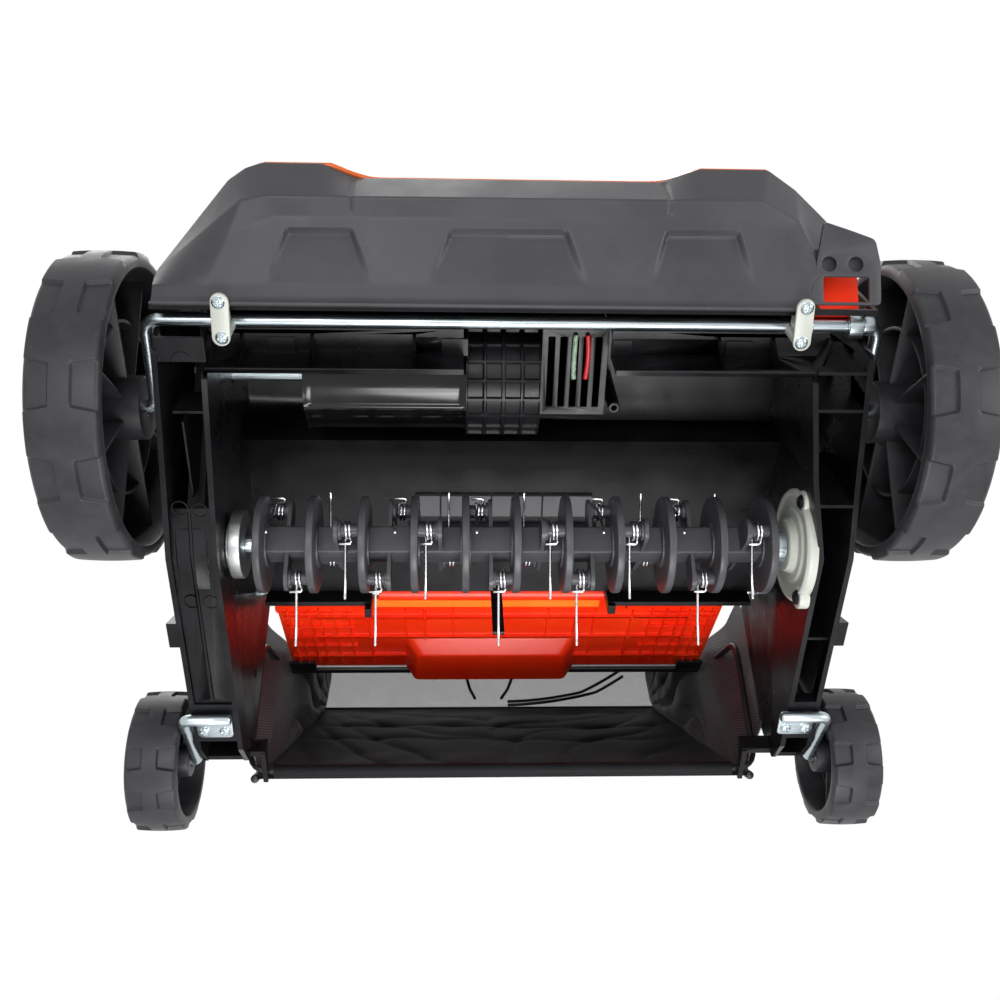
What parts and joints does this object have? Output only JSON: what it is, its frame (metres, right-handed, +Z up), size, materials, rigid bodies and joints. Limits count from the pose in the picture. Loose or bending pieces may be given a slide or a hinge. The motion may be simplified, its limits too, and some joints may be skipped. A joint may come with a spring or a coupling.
{
  "type": "electric lawn scarifier",
  "caption": "Mains electric lawn scarifier with a belt-driven spring tine roller, height-set front axle, rear flap, grass bag and a folding tube handle with a switch bail.",
  "frame": {"origin": "on the ground, under the middle of the outline", "axes": "+Z up; -Y is the way the machine drives, +Y points along the handle to the user; X runs across, along the roller"},
  "size_m": [0.563, 1.0568, 1.0073],
  "materials": {
    "black_plastic": "black moulded polypropylene, satin",
    "gloss_black_plastic": "black moulded plastic, glossy",
    "grey_plastic": "dark grey moulded plastic, fine texture",
    "orange_plastic": "orange moulded plastic, glossy",
    "red_plastic": "red-orange moulded plastic, glossy",
    "cream_nylon": "off-white nylon, slightly translucent",
    "zinc_steel": "zinc plated steel",
    "spring_steel": "bright spring steel wire",
    "coated_steel": "black powder coat",
    "black_rubber": "matte rubber",
    "bag_fabric": "black woven polyester"
  },
  "bodies": {
    "chassis": {"deck_housing": "black_plastic", "front_fascia": "grey_plastic", "top_cover": "orange_plastic", "motor_housing": "gloss_black_plastic", "vent_grille": "black_plastic", "belt_cover": "black_plastic", "drive_belt": "black_rubber", "axle_clamp_left": "cream_nylon", "axle_clamp_right": "cream_nylon", "rear_axle_left": "zinc_steel", "rear_axle_right": "zinc_steel", "bearing_ring_left": "zinc_steel", "bearing_holder_right": "cream_nylon", "bearing_sleeve_right": "zinc_steel", "flap_pin": "zinc_steel", "bag_frame": "coated_steel", "bag_hem_bar": "grey_plastic", "bag_fabric": "bag_fabric"},
    "roller": {"roller_drum": "grey_plastic", "roller_shaft": "zinc_steel", "roller_pulley": "black_plastic", "tine_01": "spring_steel", "tine_02": "spring_steel", "tine_03": "spring_steel", "tine_04": "spring_steel", "tine_05": "spring_steel", "tine_06": "spring_steel", "tine_07": "spring_steel", "tine_08": "spring_steel", "tine_09": "spring_steel", "tine_10": "spring_steel", "tine_11": "spring_steel", "tine_12": "spring_steel", "tine_13": "spring_steel", "tine_14": "spring_steel", "tine_15": "spring_steel", "tine_16": "spring_steel", "tine_17": "spring_steel", "tine_18": "spring_steel", "tine_19": "spring_steel", "tine_20": "spring_steel"},
    "rotor": {"motor_rotor": "zinc_steel"},
    "front_axle": {"front_axle": "zinc_steel", "depth_lever": "red_plastic"},
    "front_wheel_left": {"front_wheel_left": "black_plastic"},
    "front_wheel_right": {"front_wheel_right": "black_plastic"},
    "rear_wheel_left": {"rear_wheel_left": "black_plastic"},
    "rear_wheel_right": {"rear_wheel_right": "black_plastic"},
    "flap": {"rear_flap": "red_plastic", "flap_spring": "spring_steel"},
    "lower_handle": {"lower_handle": "coated_steel"},
    "pivot_knob_left": {"pivot_knob_left": "black_plastic"},
    "pivot_knob_right": {"pivot_knob_right": "black_plastic"},
    "fold_knob_left": {"fold_knob_left": "red_plastic"},
    "fold_knob_right": {"fold_knob_right": "red_plastic"},
    "upper_handle": {"upper_handle": "coated_steel", "switch_box": "black_plastic"},
    "bail": {"switch_bail": "red_plastic"},
    "button": {"safety_button": "red_plastic"}
  },
  "joints": [
    {"name": "roller_spin", "type": "hinge", "parent": "chassis", "child": "roller", "pos_m": [0.003, -0.29042, 0.072], "axis": [1, 0, 0], "continuous": true},
    {"name": "motor_spin", "type": "hinge", "parent": "chassis", "child": "rotor", "pos_m": [0, -0.38642, 0.139], "axis": [1, 0, 0], "continuous": true},
    {"name": "depth_setting", "type": "hinge", "parent": "chassis", "child": "front_axle", "pos_m": [0, -0.44242, 0.092], "axis": [1, 0, 0], "range_deg": [-10, 14]},
    {"name": "front_wheel_left_spin", "type": "hinge", "parent": "front_axle", "child": "front_wheel_left", "pos_m": [-0.2615, -0.37842, 0.1], "axis": [1, 0, 0], "continuous": true},
    {"name": "front_wheel_right_spin", "type": "hinge", "parent": "front_axle", "child": "front_wheel_right", "pos_m": [0.2615, -0.37842, 0.1], "axis": [1, 0, 0], "continuous": true},
    {"name": "rear_wheel_left_spin", "type": "hinge", "parent": "chassis", "child": "rear_wheel_left", "pos_m": [-0.25, -0.11542, 0.05], "axis": [1, 0, 0], "continuous": true},
    {"name": "rear_wheel_right_spin", "type": "hinge", "parent": "chassis", "child": "rear_wheel_right", "pos_m": [0.25, -0.11542, 0.05], "axis": [1, 0, 0], "continuous": true},
    {"name": "flap_lift", "type": "hinge", "parent": "chassis", "child": "flap", "pos_m": [0, -0.18042, 0.172], "axis": [1, 0, 0], "range_deg": [0, 45]},
    {"name": "handle_fold", "type": "hinge", "parent": "chassis", "child": "lower_handle", "pos_m": [0, -0.21842, 0.215], "axis": [1, 0, 0], "range_deg": [0, 95]},
    {"name": "pivot_knob_left_turn", "type": "hinge", "parent": "chassis", "child": "pivot_knob_left", "pos_m": [-0.2, -0.21842, 0.215], "axis": [-1, 0, 0], "continuous": true},
    {"name": "pivot_knob_right_turn", "type": "hinge", "parent": "chassis", "child": "pivot_knob_right", "pos_m": [0.2, -0.21842, 0.215], "axis": [1, 0, 0], "continuous": true},
    {"name": "upper_handle_fold", "type": "hinge", "parent": "lower_handle", "child": "upper_handle", "pos_m": [0, 0.08723, 0.53151], "axis": [1, 0, 0], "range_deg": [-100, 0]},
    {"name": "fold_knob_left_turn", "type": "hinge", "parent": "lower_handle", "child": "fold_knob_left", "pos_m": [-0.22, 0.08723, 0.53151], "axis": [-1, 0, 0], "continuous": true},
    {"name": "fold_knob_right_turn", "type": "hinge", "parent": "lower_handle", "child": "fold_knob_right", "pos_m": [0.22, 0.08723, 0.53151], "axis": [1, 0, 0], "continuous": true},
    {"name": "bail_pull", "type": "hinge", "parent": "upper_handle", "child": "bail", "pos_m": [0, 0.44845, 0.90557], "axis": [1, 0, 0], "range_deg": [-30, 0], "stiffness_Nm_per_rad": 0.6, "springref_deg": 34.38},
    {"name": "button_press", "type": "slide", "parent": "upper_handle", "child": "button", "axis": [0, 0.7193, -0.6947], "range_m": [0, 0.004], "stiffness_N_per_m": 400, "springref_m": -0.004}
  ],
  "couplings": [
    {"joint": "motor_spin", "follows": "roller_spin", "ratio": 2.6}
  ]
}
